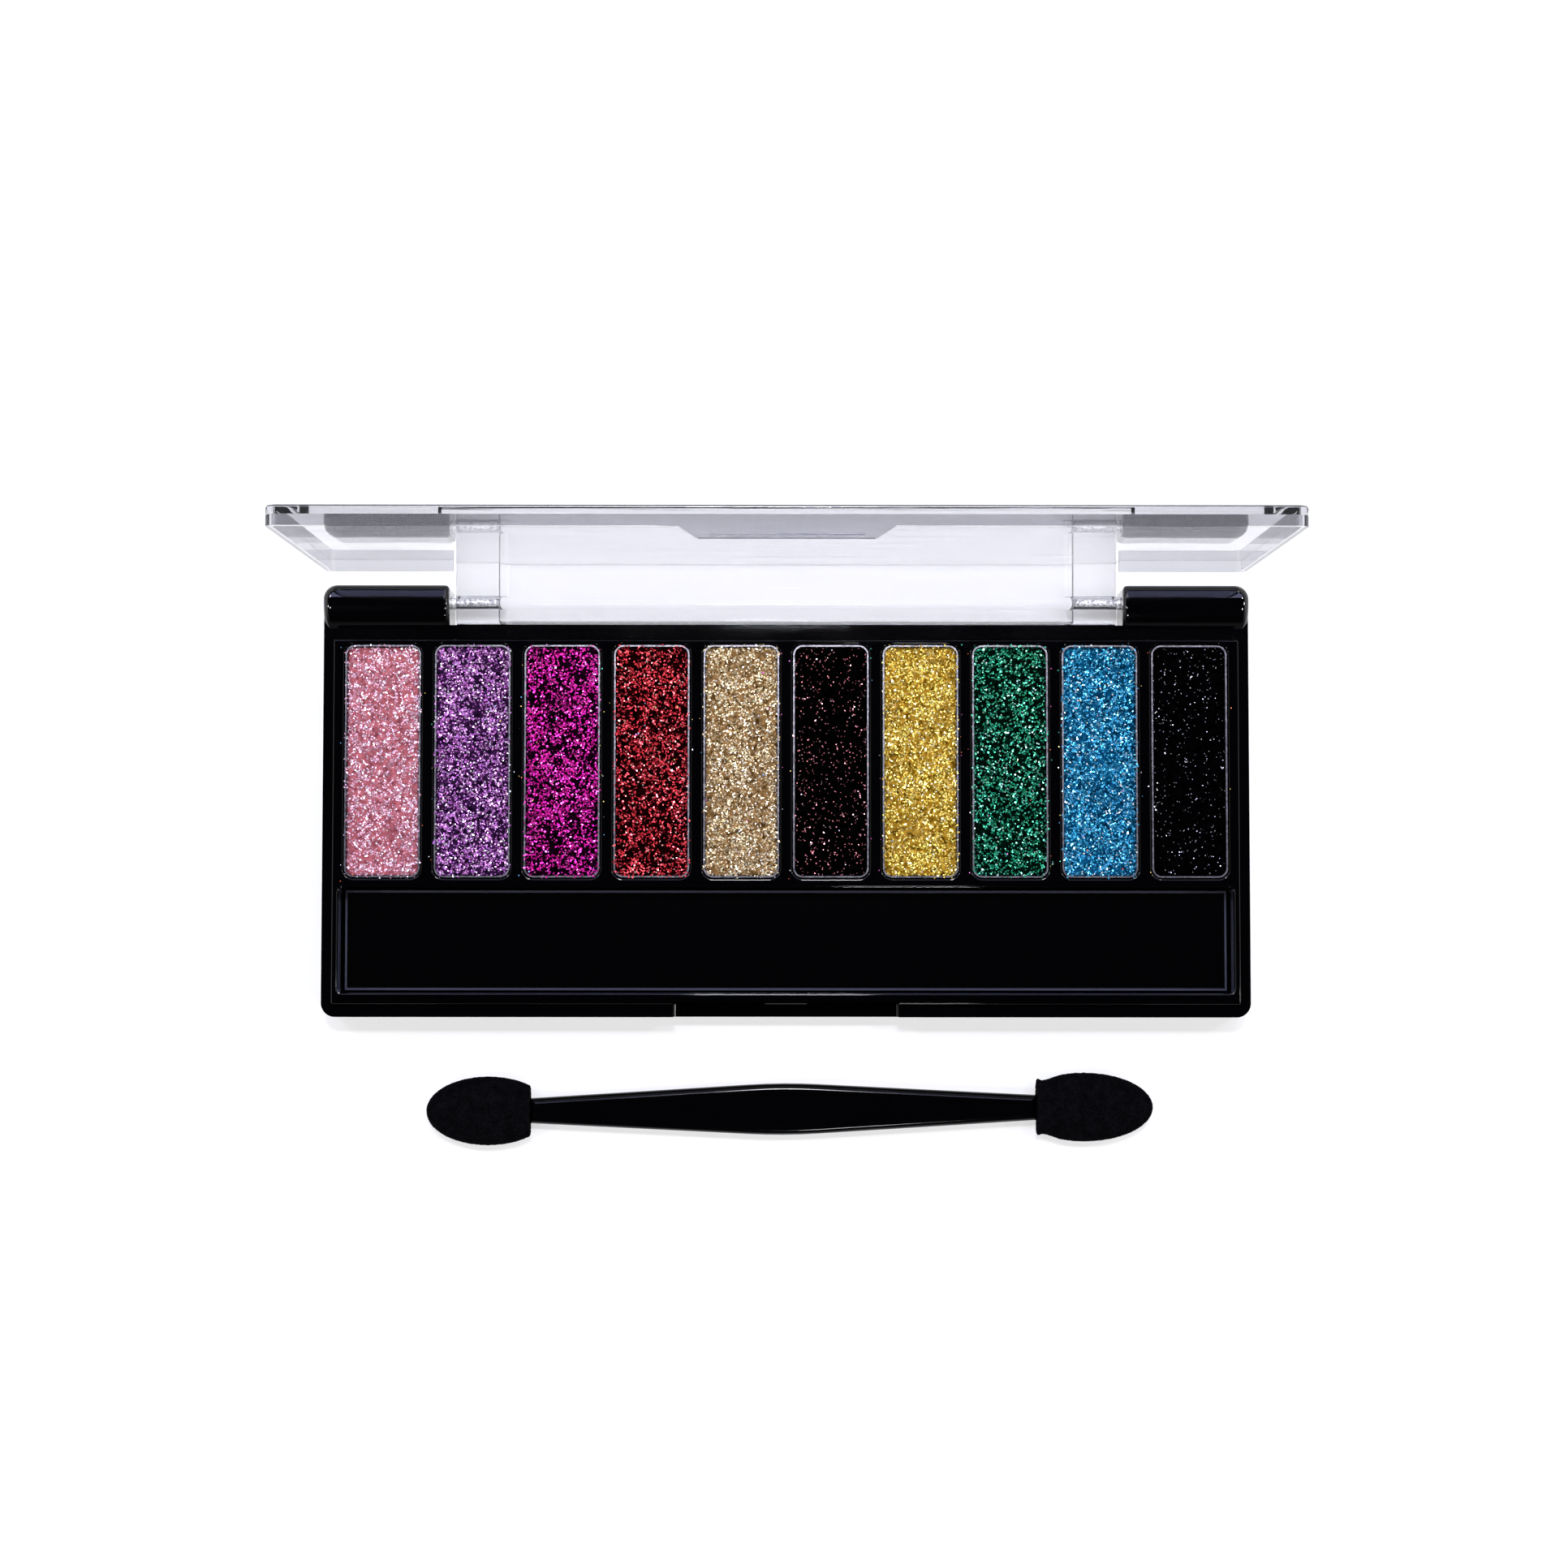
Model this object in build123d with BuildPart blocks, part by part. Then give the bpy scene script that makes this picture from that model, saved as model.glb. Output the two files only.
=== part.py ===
from build123d import *
import os

# Slim eyeshadow palette: a black two-piece case with ten pressed glitter pans, a mirror strip under
# the applicator trough, a clear hinged lid and a loose double-ended sponge applicator.
# Frame: origin at the centre of the case's underside, +X right, +Y towards the hinge, +Z up, in mm.
# The lid is drawn shut and swung open about its pins; the applicator lies on the table in front.

os.makedirs("parts", exist_ok=True)

# Case
CASE_WIDTH = 118.0
CASE_DEPTH = 55.0
CASE_CORNER = 1.8
CLOSED_HEIGHT = 9.2
LEDGE_HEIGHT = 6.8
DECK_HEIGHT = 7.8
FLOOR = 0.9
SIDE_WALL = 1.35
FRONT_WALL = 1.6
SEAM = 0.05
BOTTOM_CHAMFER = 0.5
EDGE_ROUND = 0.3

# Hinge
HINGE_Y = 25.65
HINGE_Z = 3.25
PIN_DIAMETER = 1.6
PIN_PLAY = 0.08
PIN_INNER_X = 37.2
PIN_OUTER_X = 58.6
GAP_WIDTH = 85.9
GAP_FRONT_Y = 22.4
SHOULDER_RADIUS = 5.1
SHOULDER_ROUND = 1.0
CREST_WIDTH = 83.8
LID_OPEN_ANGLE = 89.0

# Pan deck
DECK_REAR_Y = 20.5
PAN_COUNT = 10
PAN_PITCH = 11.4
PAN_WIDTH = 9.6
PAN_LENGTH = 29.6
PAN_CORNER = 1.25
PAN_CENTRE_Y = 5.0
PAN_DEPTH = 2.9
PAN_METAL = 0.2
WELL_PLAY = 0.15
WELL_DEPTH = 3.2
WELL_FLOOR = 0.9
GLUE_THICKNESS = 0.15
GLUE_DIAMETER = 5.0
CAKE_BELOW_RIM = 0.3
RIB = 1.0

# Applicator trough, mirror and thumb notch
TROUGH_WIDTH = 113.8
TROUGH_LENGTH = 13.45
TROUGH_CENTRE_Y = -17.75
TROUGH_CORNER = 0.8
TROUGH_FLOOR = 0.7
TAPE_THICKNESS = 0.1
MIRROR_WIDTH = 113.2
MIRROR_LENGTH = 12.8
MIRROR_THICKNESS = 0.9
MIRROR_BEVEL = 0.3
NOTCH_WIDTH = 28.6
NOTCH_FLOOR = 4.0
NOTCH_RELIEF = 0.35
CATCH_WIDTH = 5.3
CATCH_HEIGHT = 5.9

# Lid
LID_WIDTH = 117.1
LID_FRONT_Y = -27.3
LID_WING_Y = 21.5
LID_CORNER = 1.5
PLATE = 1.0
SKIRT_SIDE = 0.8
SKIRT_FRONT = 1.05
SKIRT_REAR = 0.9
RIM_HEIGHT = 6.85
TAB_WIDTH = 84.8
TAB_REAR = 1.85
TAB_END_RADIUS = 2.85
WEB = 1.4
LUG_WIDTH = 5.5
LUG_FRONT = 1.6
LUG_BLEND = 2.0
TAB_FILLET = 1.0
TONGUE_ROOT = 24.6
TONGUE_TIP = 20.3
TONGUE_DROP = 1.4
TONGUE_RIDGE = 0.2

# Applicator
HANDLE_END_WIDTH = 3.2
HANDLE_MID_WIDTH = 6.8
HANDLE_MID_RADIUS = 80.0
HANDLE_THICKNESS = 2.2
HANDLE_ROUND = 0.8
HANDLE_LEFT_X = -33.0
HANDLE_RIGHT_X = 31.8
TANG_LENGTH = 8.0
TANG_WIDTH = 2.2
TANG_THICKNESS = 1.2
TIP_WIDTH = 8.9
TIP_CUT_WIDTH = 6.5
TIP_THICKNESS = 4.4
TIP_ROUND = 1.6
TIP_LEFT_LENGTH = 13.4
TIP_RIGHT_LENGTH = 15.0
APPLICATOR_X = 0.3
APPLICATOR_Y = -39.3
APPLICATOR_TURN = 0.4

case_side_x = CASE_WIDTH / 2
case_front_y = -CASE_DEPTH / 2
case_rear_y = CASE_DEPTH / 2
cavity_side_x = case_side_x - SIDE_WALL
cavity_front_y = case_front_y + FRONT_WALL
cavity_rear_y = DECK_REAR_Y + SEAM
deck_width = 2 * (cavity_side_x - SEAM)
deck_front_y = cavity_front_y + SEAM
deck_length = DECK_REAR_Y - deck_front_y
deck_centre_y = (DECK_REAR_Y + deck_front_y) / 2
well_bottom = DECK_HEIGHT - WELL_DEPTH
pan_bottom = well_bottom + GLUE_THICKNESS
trough_bottom = FLOOR + TROUGH_FLOOR
mirror_bottom = trough_bottom + TAPE_THICKNESS
plate_inner = CLOSED_HEIGHT - PLATE
hinge_axis = Axis((0, HINGE_Y, HINGE_Z), (1, 0, 0))


def finish(part, name):
    """Label one finished piece and write it to its own file."""
    part.label = name
    export_step(part, f"parts/{name}.step")


# ---- Base shell: outer tray with barrel-shaped hinge shoulders at the rear corners ----
with BuildPart() as base_shell:
    with BuildSketch(Plane.XY):
        RectangleRounded(CASE_WIDTH, CASE_DEPTH, CASE_CORNER)
    extrude(amount=CLOSED_HEIGHT)
    # The side view: a flat tray up to the ledge, and the shoulder as an arc about the hinge axis.
    with BuildSketch(Plane.YZ):
        with Locations((HINGE_Y, HINGE_Z)):
            Circle(SHOULDER_RADIUS)
        with Locations((0, LEDGE_HEIGHT / 2)):
            Rectangle(CASE_DEPTH, LEDGE_HEIGHT)
    extrude(amount=case_side_x, both=True, mode=Mode.INTERSECT)
    rear_edges = base_shell.edges().filter_by(Axis.X).group_by(Axis.Y)[-1]
    fillet(rear_edges.sort_by(Axis.Z)[-1], SHOULDER_ROUND)
    # The crest closes the seam behind the pan deck, between the shoulders.
    with BuildSketch(Plane.XY.offset(LEDGE_HEIGHT)):
        with Locations((0, (cavity_rear_y + GAP_FRONT_Y) / 2)):
            Rectangle(CREST_WIDTH, GAP_FRONT_Y - cavity_rear_y)
    extrude(amount=DECK_HEIGHT - LEDGE_HEIGHT)
    # Cavity for the pan deck.
    with BuildSketch(Plane.XY.offset(FLOOR)):
        with Locations((0, (cavity_front_y + cavity_rear_y) / 2)):
            RectangleRounded(2 * cavity_side_x, cavity_rear_y - cavity_front_y, EDGE_ROUND)
    extrude(amount=CLOSED_HEIGHT, mode=Mode.SUBTRACT)
    # Gap for the lid's hinge tab, open to the table.
    with BuildSketch(Plane.XY):
        with Locations((0, (GAP_FRONT_Y + case_rear_y) / 2)):
            Rectangle(GAP_WIDTH, case_rear_y - GAP_FRONT_Y)
    extrude(amount=CLOSED_HEIGHT, mode=Mode.SUBTRACT)
    gap_corners = base_shell.edges().filter_by(Axis.Z).filter_by_position(
        Axis.Y, case_rear_y - EDGE_ROUND, case_rear_y
    ).filter_by_position(Axis.X, -GAP_WIDTH / 2 - EDGE_ROUND, GAP_WIDTH / 2 + EDGE_ROUND)
    fillet(gap_corners, 2 * EDGE_ROUND)
    # Thumb notch through the front wall.
    with BuildSketch(Plane.XZ.offset(-case_front_y)):
        with Locations((0, NOTCH_FLOOR)):
            RectangleRounded(NOTCH_WIDTH, 2 * LEDGE_HEIGHT, EDGE_ROUND, align=(Align.CENTER, Align.MIN))
    extrude(amount=-FRONT_WALL, mode=Mode.SUBTRACT)
    # Bores for the hinge pins, right through each shoulder.
    with BuildSketch(Plane.YZ):
        with Locations((HINGE_Y, HINGE_Z)):
            Circle(PIN_DIAMETER / 2)
    extrude(amount=case_side_x, both=True, mode=Mode.SUBTRACT)
    chamfer(base_shell.faces().sort_by(Axis.Z)[0].outer_wire().edges(), BOTTOM_CHAMFER)
finish(base_shell.part, "base_shell")

# ---- Pan deck: the tray insert with ten wells and the applicator trough ----
with BuildPart() as pan_deck:
    with BuildSketch(Plane.XY.offset(FLOOR)):
        with Locations((0, deck_centre_y)):
            RectangleRounded(deck_width, deck_length, EDGE_ROUND)
    extrude(amount=DECK_HEIGHT - FLOOR)
    with BuildSketch(Plane.XY.offset(DECK_HEIGHT)):
        with Locations((0, PAN_CENTRE_Y)):
            with GridLocations(PAN_PITCH, 0, PAN_COUNT, 1):
                RectangleRounded(
                    PAN_WIDTH + 2 * WELL_PLAY, PAN_LENGTH + 2 * WELL_PLAY, PAN_CORNER + WELL_PLAY
                )
    extrude(amount=-WELL_DEPTH, mode=Mode.SUBTRACT)
    with BuildSketch(Plane.XY.offset(DECK_HEIGHT)):
        with Locations((0, TROUGH_CENTRE_Y)):
            RectangleRounded(TROUGH_WIDTH, TROUGH_LENGTH, TROUGH_CORNER)
    extrude(amount=trough_bottom - DECK_HEIGHT, mode=Mode.SUBTRACT)
    fillet(pan_deck.faces().sort_by(Axis.Z)[-1].edges(), EDGE_ROUND * 2 / 3)
    # The underside is cored out under the wells, with a rib below every second divider.
    with BuildSketch(Plane.XY.offset(FLOOR)):
        with Locations((0, PAN_CENTRE_Y)):
            with GridLocations(2 * PAN_PITCH, 0, PAN_COUNT // 2, 1):
                Rectangle(2 * PAN_PITCH - RIB, PAN_LENGTH - RIB)
    extrude(amount=well_bottom - WELL_FLOOR - FLOOR, mode=Mode.SUBTRACT)
    # The front wall steps back behind the thumb notch and carries the catch bead.
    with BuildSketch(Plane.XZ.offset(-deck_front_y)):
        with Locations((0, NOTCH_FLOOR)):
            Rectangle(NOTCH_WIDTH, DECK_HEIGHT, align=(Align.CENTER, Align.MIN))
    extrude(amount=-NOTCH_RELIEF, mode=Mode.SUBTRACT)
    with BuildSketch(Plane.YZ):
        with Locations((deck_front_y + NOTCH_RELIEF, CATCH_HEIGHT)):
            Circle(NOTCH_RELIEF)
    extrude(amount=CATCH_WIDTH / 2, both=True)
finish(pan_deck.part, "pan_deck")

# ---- Pans, pressed glitter and the glue that holds them ----
cake_bottom = pan_bottom + PAN_METAL
cake_height = PAN_DEPTH - PAN_METAL - CAKE_BELOW_RIM
pan_xs = [(i - (PAN_COUNT - 1) / 2) * PAN_PITCH for i in range(PAN_COUNT)]
for number, pan_x in enumerate(pan_xs, start=1):
    with BuildPart() as pan:
        with BuildSketch(Plane.XY.offset(pan_bottom)):
            with Locations((pan_x, PAN_CENTRE_Y)):
                RectangleRounded(PAN_WIDTH, PAN_LENGTH, PAN_CORNER)
        extrude(amount=PAN_DEPTH)
        fillet(pan.faces().sort_by(Axis.Z)[0].edges(), 2 * PAN_METAL)
        offset(amount=-PAN_METAL, openings=pan.faces().sort_by(Axis.Z)[-1])
    finish(pan.part, f"pan_{number:02d}")

    with BuildPart() as cake:
        with BuildSketch(Plane.XY.offset(cake_bottom)):
            with Locations((pan_x, PAN_CENTRE_Y)):
                RectangleRounded(
                    PAN_WIDTH - 2 * PAN_METAL, PAN_LENGTH - 2 * PAN_METAL, PAN_CORNER - PAN_METAL
                )
        extrude(amount=cake_height)
        chamfer(cake.faces().sort_by(Axis.Z)[0].edges(), 2 * PAN_METAL)
        chamfer(cake.faces().sort_by(Axis.Z)[-1].edges(), PAN_METAL)
    finish(cake.part, f"glitter_{number:02d}")

with BuildPart() as pan_glue:
    with BuildSketch(Plane.XY.offset(well_bottom)):
        with Locations((0, PAN_CENTRE_Y)):
            with GridLocations(PAN_PITCH, PAN_LENGTH / 2, PAN_COUNT, 2):
                Circle(GLUE_DIAMETER / 2)
    extrude(amount=GLUE_THICKNESS)
finish(pan_glue.part, "pan_glue")

# ---- Mirror strip on its adhesive tape, at the bottom of the trough ----
with BuildPart() as mirror_tape:
    with BuildSketch(Plane.XY.offset(trough_bottom)):
        with Locations((0, TROUGH_CENTRE_Y)):
            Rectangle(MIRROR_WIDTH - 2 * RIB, MIRROR_LENGTH - 2 * RIB)
    extrude(amount=TAPE_THICKNESS)
finish(mirror_tape.part, "mirror_tape")

with BuildPart() as mirror_strip:
    with BuildSketch(Plane.XY.offset(mirror_bottom)):
        with Locations((0, TROUGH_CENTRE_Y)):
            Rectangle(MIRROR_WIDTH, MIRROR_LENGTH)
    extrude(amount=MIRROR_THICKNESS)
    chamfer(mirror_strip.faces().sort_by(Axis.Z)[-1].edges(), MIRROR_BEVEL)
finish(mirror_strip.part, "mirror_strip")

# ---- Lid: one clear moulding, drawn shut ----
skirt_inner_front_y = LID_FRONT_Y + SKIRT_FRONT
skirt_inner_rear_y = LID_WING_Y - SKIRT_REAR
tab_rear_y = HINGE_Y + TAB_REAR
web_front_y = tab_rear_y - WEB
with BuildPart() as lid:
    with BuildSketch(Plane.XY.offset(RIM_HEIGHT)):
        with Locations((0, (LID_FRONT_Y + LID_WING_Y) / 2)):
            RectangleRounded(LID_WIDTH, LID_WING_Y - LID_FRONT_Y, LID_CORNER)
    extrude(amount=CLOSED_HEIGHT - RIM_HEIGHT)
    with BuildSketch(Plane.XY.offset(RIM_HEIGHT)):
        with Locations((0, (skirt_inner_front_y + skirt_inner_rear_y) / 2)):
            RectangleRounded(
                LID_WIDTH - 2 * SKIRT_SIDE, skirt_inner_rear_y - skirt_inner_front_y, LID_CORNER - SKIRT_SIDE
            )
        with Locations((0, skirt_inner_rear_y)):
            Rectangle(TAB_WIDTH, 2 * SKIRT_REAR)
    extrude(amount=plate_inner - RIM_HEIGHT, mode=Mode.SUBTRACT)
    # Hinge tab: the plate runs back between the shoulders and turns down as the rear wall.
    with BuildSketch(Plane.YZ):
        with BuildLine():
            Polyline(
                (skirt_inner_rear_y, plate_inner),
                (web_front_y, plate_inner),
                (web_front_y, HINGE_Z),
                (tab_rear_y, HINGE_Z),
                (tab_rear_y, CLOSED_HEIGHT),
                (skirt_inner_rear_y, CLOSED_HEIGHT),
                close=True,
            )
        make_face()
    extrude(amount=TAB_WIDTH / 2, both=True)
    # The wall ends in an arc about the hinge axis, so that it swings clear of the table.
    with BuildSketch(Plane.YZ) as tab_end:
        with Locations((HINGE_Y, HINGE_Z)):
            Circle(TAB_END_RADIUS)
        with Locations(((web_front_y + tab_rear_y) / 2, HINGE_Z)):
            Rectangle(WEB, 2 * TAB_END_RADIUS, mode=Mode.INTERSECT)
    extrude(amount=TAB_WIDTH / 2, both=True)
    # Thick lugs at the two ends of the wall carry the pins.
    for side in (-1, 1):
        with BuildSketch(Plane.YZ.offset(side * TAB_WIDTH / 2)):
            with Locations((HINGE_Y, HINGE_Z)):
                Circle(TAB_END_RADIUS)
            with Locations((HINGE_Y, HINGE_Z)):
                Rectangle(
                    2 * TAB_END_RADIUS, plate_inner - HINGE_Z, align=(Align.CENTER, Align.MIN)
                )
            with Locations((tab_rear_y, HINGE_Z)):
                Rectangle(
                    TAB_REAR + LUG_FRONT, 4 * TAB_END_RADIUS, align=(Align.MAX, Align.CENTER), mode=Mode.INTERSECT
                )
        extrude(amount=-side * LUG_WIDTH)
    lug_roots = lid.edges().filter_by(Axis.Z).filter_by_position(
        Axis.Y, web_front_y - EDGE_ROUND, web_front_y + EDGE_ROUND
    ).filter_by_position(Axis.X, -TAB_WIDTH / 2 + EDGE_ROUND, TAB_WIDTH / 2 - EDGE_ROUND)
    fillet(lug_roots, LUG_BLEND)
    # Bores that run on the pins.
    with BuildSketch(Plane.YZ):
        with Locations((HINGE_Y, HINGE_Z)):
            Circle(PIN_DIAMETER / 2 + PIN_PLAY)
    extrude(amount=TAB_WIDTH, both=True, mode=Mode.SUBTRACT)
    # Latch tongue below the front rim, with a small ridge that clicks under the catch bead.
    with BuildSketch(Plane.XZ.offset(-LID_FRONT_Y)):
        with BuildLine():
            Polyline(
                (-TONGUE_ROOT / 2, RIM_HEIGHT + EDGE_ROUND),
                (-TONGUE_ROOT / 2, RIM_HEIGHT),
                (-TONGUE_TIP / 2, RIM_HEIGHT - TONGUE_DROP),
                (TONGUE_TIP / 2, RIM_HEIGHT - TONGUE_DROP),
                (TONGUE_ROOT / 2, RIM_HEIGHT),
                (TONGUE_ROOT / 2, RIM_HEIGHT + EDGE_ROUND),
                close=True,
            )
        tongue_face = make_face()
        fillet(tongue_face.vertices().group_by(Axis.Y)[0], TONGUE_DROP / 2)
    extrude(amount=-SKIRT_FRONT)
    with BuildSketch(Plane.YZ):
        with Locations((skirt_inner_front_y, RIM_HEIGHT - TONGUE_DROP + 2 * TONGUE_RIDGE)):
            Circle(TONGUE_RIDGE)
    extrude(amount=TONGUE_TIP / 2 - TONGUE_DROP, both=True)
    fillet(lid.faces().sort_by(Axis.Z)[-1].edges(), EDGE_ROUND)
lid_open = lid.part.rotate(hinge_axis, -LID_OPEN_ANGLE)
finish(lid_open, "lid")

# ---- Hinge pins: steel, pressed into the shoulders from the sides ----
for side, name in ((-1, "left"), (1, "right")):
    with BuildPart() as pin:
        with BuildSketch(Plane.YZ.offset(side * PIN_INNER_X)):
            with Locations((HINGE_Y, HINGE_Z)):
                Circle(PIN_DIAMETER / 2)
        extrude(amount=side * (PIN_OUTER_X - PIN_INNER_X))
        chamfer(pin.edges().filter_by(GeomType.CIRCLE), PIN_DIAMETER / 10)
    finish(pin.part, f"hinge_pin_{name}")

# ---- Applicator: flat handle with a foam tip pushed over the tang at each end ----
applicator_frame = Plane((APPLICATOR_X, APPLICATOR_Y, TIP_THICKNESS / 2)).rotated((0, 0, APPLICATOR_TURN))
handle_mid_x = (HANDLE_LEFT_X + HANDLE_RIGHT_X) / 2
with BuildPart() as handle:
    with BuildSketch(applicator_frame):
        with BuildLine():
            Polyline(
                (HANDLE_LEFT_X, -HANDLE_END_WIDTH / 2),
                (handle_mid_x, -HANDLE_MID_WIDTH / 2),
                (HANDLE_RIGHT_X, -HANDLE_END_WIDTH / 2),
                (HANDLE_RIGHT_X, HANDLE_END_WIDTH / 2),
                (handle_mid_x, HANDLE_MID_WIDTH / 2),
                (HANDLE_LEFT_X, HANDLE_END_WIDTH / 2),
                close=True,
            )
        blank = make_face()
        fillet(blank.vertices().group_by(Axis.X)[1], HANDLE_MID_RADIUS)
    extrude(amount=HANDLE_THICKNESS / 2, both=True)
    fillet(handle.faces().filter_by(Axis.Z).edges(), HANDLE_ROUND)
    tang_reach = HANDLE_RIGHT_X - HANDLE_LEFT_X + 2 * TANG_LENGTH
    with BuildSketch(applicator_frame):
        with Locations((handle_mid_x, 0)):
            RectangleRounded(tang_reach, TANG_WIDTH, TANG_WIDTH / 3)
    extrude(amount=TANG_THICKNESS / 2, both=True)
finish(handle.part, "applicator_handle")

cut_share = (1 - (TIP_CUT_WIDTH / TIP_WIDTH) ** 2) ** 0.5
for side, root_x, length, name in (
    (-1, HANDLE_LEFT_X, TIP_LEFT_LENGTH, "left"),
    (1, HANDLE_RIGHT_X, TIP_RIGHT_LENGTH, "right"),
):
    # An ellipse cut off square at the handle, as wide there as TIP_CUT_WIDTH.
    half_length = length / (1 + cut_share)
    with BuildPart() as tip:
        with BuildSketch(applicator_frame):
            with Locations((root_x + side * (length - half_length), 0)):
                Ellipse(half_length, TIP_WIDTH / 2)
            with Locations((root_x + side * length / 2, 0)):
                Rectangle(length, TIP_WIDTH, mode=Mode.INTERSECT)
        extrude(amount=TIP_THICKNESS / 2, both=True)
        fillet(tip.faces().filter_by(Axis.Z).edges().filter_by(GeomType.ELLIPSE), TIP_ROUND)
        with BuildSketch(applicator_frame):
            with Locations((handle_mid_x, 0)):
                RectangleRounded(tang_reach, TANG_WIDTH, TANG_WIDTH / 3)
        extrude(amount=TANG_THICKNESS / 2, both=True, mode=Mode.SUBTRACT)
    finish(tip.part, f"sponge_tip_{name}")
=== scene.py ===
import math
import random

import bmesh
import bpy
import numpy as np
from bpy.props import (
    CollectionProperty, FloatProperty, FloatVectorProperty, IntProperty, PointerProperty,
    StringProperty,
)
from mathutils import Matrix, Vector, noise
from mathutils.bvhtree import BVHTree


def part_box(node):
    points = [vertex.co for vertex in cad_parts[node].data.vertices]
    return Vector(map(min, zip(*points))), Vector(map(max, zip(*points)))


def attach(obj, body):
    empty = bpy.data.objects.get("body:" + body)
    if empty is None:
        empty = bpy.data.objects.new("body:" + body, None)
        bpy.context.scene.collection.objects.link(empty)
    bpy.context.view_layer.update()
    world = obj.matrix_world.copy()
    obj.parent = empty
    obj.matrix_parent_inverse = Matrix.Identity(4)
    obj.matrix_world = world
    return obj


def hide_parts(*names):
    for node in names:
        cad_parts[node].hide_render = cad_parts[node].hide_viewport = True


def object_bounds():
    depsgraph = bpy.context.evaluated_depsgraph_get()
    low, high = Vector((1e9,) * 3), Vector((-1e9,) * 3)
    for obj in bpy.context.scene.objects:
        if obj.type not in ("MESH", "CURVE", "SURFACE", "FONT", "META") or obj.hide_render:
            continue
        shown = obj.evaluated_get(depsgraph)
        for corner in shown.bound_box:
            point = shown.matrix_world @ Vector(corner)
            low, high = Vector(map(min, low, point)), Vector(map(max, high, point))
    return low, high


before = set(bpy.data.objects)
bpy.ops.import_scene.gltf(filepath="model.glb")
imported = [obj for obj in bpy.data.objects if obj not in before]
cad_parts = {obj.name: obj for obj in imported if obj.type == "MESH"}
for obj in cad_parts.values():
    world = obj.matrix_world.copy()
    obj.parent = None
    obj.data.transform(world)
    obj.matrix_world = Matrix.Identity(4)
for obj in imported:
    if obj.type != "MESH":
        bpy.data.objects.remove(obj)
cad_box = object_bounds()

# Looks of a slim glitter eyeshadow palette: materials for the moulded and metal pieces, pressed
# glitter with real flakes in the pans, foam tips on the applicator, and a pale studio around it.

bl_info = {
    "name": "Glitter eyeshadow palette",
    "version": (1, 0, 0),
    "blender": (4, 5, 0),
    "location": "View3D > Sidebar > Palette",
    "description": "Finishes a ten-pan glitter eyeshadow palette and its sponge applicator",
    "category": "Object",
}

MM = 0.001
UP = Vector((0, 0, 1))
SEED = 7
CORNERS_OF_A_FLAKE = 6
# A flake covers about this share of its size squared.
FLAKE_AREA_SHARE = 0.7
# A flake's tone is drawn from 0 to 1: a near-white flake with a painted highlight or the second
# tone from these values up, and the colour of another pan's loose flake below the last one.
PAINTED_HIGHLIGHT_FROM = 0.93
SECOND_FROM = 0.6
FOREIGN_BELOW = 0.003
# Share of a pan's spilled flakes that lie along its short ends.
SPILLED_AT_ENDS = 0.25
PAN_CORNER = 1.05 * MM
CAKE_VOXEL = 0.22 * MM
CAKE_LUMP = 1.5 * MM
FOAM_VOXEL = 0.12 * MM
MIRROR_GROUND_EDGE = 0.3 * MM
TABLE_WIDTH = 6


# ---- Colours and small helpers ----

def linear(hex_colour):
    """An sRGB hex colour as linear red, green and blue."""
    parts = [int(hex_colour[i:i + 2], 16) / 255 for i in (1, 3, 5)]
    return tuple(p / 12.92 if p <= 0.04045 else ((p + 0.055) / 1.055) ** 2.4 for p in parts)


def rgba(hex_colour):
    """The same colour with full opacity, for a shader's socket."""
    return (*linear(hex_colour), 1.0)


def node(tree, kind, inputs=None, stops=(), **settings):
    """Adds a node with its properties, and its inputs as values or as sockets that feed them.

    A colour ramp also gets its stops, as pairs of a position and a colour.
    """
    made = tree.nodes.new(kind)
    for name, value in settings.items():
        setattr(made, name, value)
    for name, value in (inputs or {}).items():
        if isinstance(value, bpy.types.NodeSocket):
            tree.links.new(value, made.inputs[name])
        else:
            made.inputs[name].default_value = value
    if stops:
        marks = made.color_ramp.elements
        while len(marks) < len(stops):
            marks.new(0.5)
        for mark, (position, colour) in zip(marks, stops):
            mark.position = position
            mark.color = colour
    return made


def new_material(name, **sockets):
    """A material with one Principled shader, whose sockets are set by their names."""
    material = bpy.data.materials.new(name)
    material.use_nodes = True
    tree = material.node_tree
    shader = tree.nodes["Principled BSDF"]
    for socket, value in sockets.items():
        shader.inputs[socket.replace("_", " ")].default_value = value
    return material, tree, shader.inputs


def per_metre(size_mm):
    """The scale of a pattern whose features are this many millimetres across."""
    return 1 / (size_mm * MM)


def dress(name, material):
    """Puts a material on a CAD node."""
    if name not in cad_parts:
        raise RuntimeError(f"the model has no node called {name}")
    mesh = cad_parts[name].data
    mesh.materials.clear()
    mesh.materials.append(material)


def select_only(piece):
    """Leaves one piece selected and active, as an operator needs it."""
    bpy.ops.object.select_all(action="DESELECT")
    piece.select_set(True)
    bpy.context.view_layer.objects.active = piece


def apply_place(piece):
    """Moves a piece's place, turn and scale into its mesh."""
    select_only(piece)
    bpy.ops.object.transform_apply(location=True, rotation=True, scale=True)


def apply_modifier(piece, kind, **settings):
    """Adds one modifier with its settings and applies it."""
    select_only(piece)
    modifier = piece.modifiers.new(kind.title(), kind)
    for name, value in settings.items():
        setattr(modifier, name, value)
    bpy.ops.object.modifier_apply(modifier=modifier.name)


def clouds(name, size):
    """A displacement texture whose lumps are this wide, in metres."""
    texture = bpy.data.textures.new(name, "CLOUDS")
    texture.noise_scale = size
    return texture


# ---- Materials ----

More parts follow.
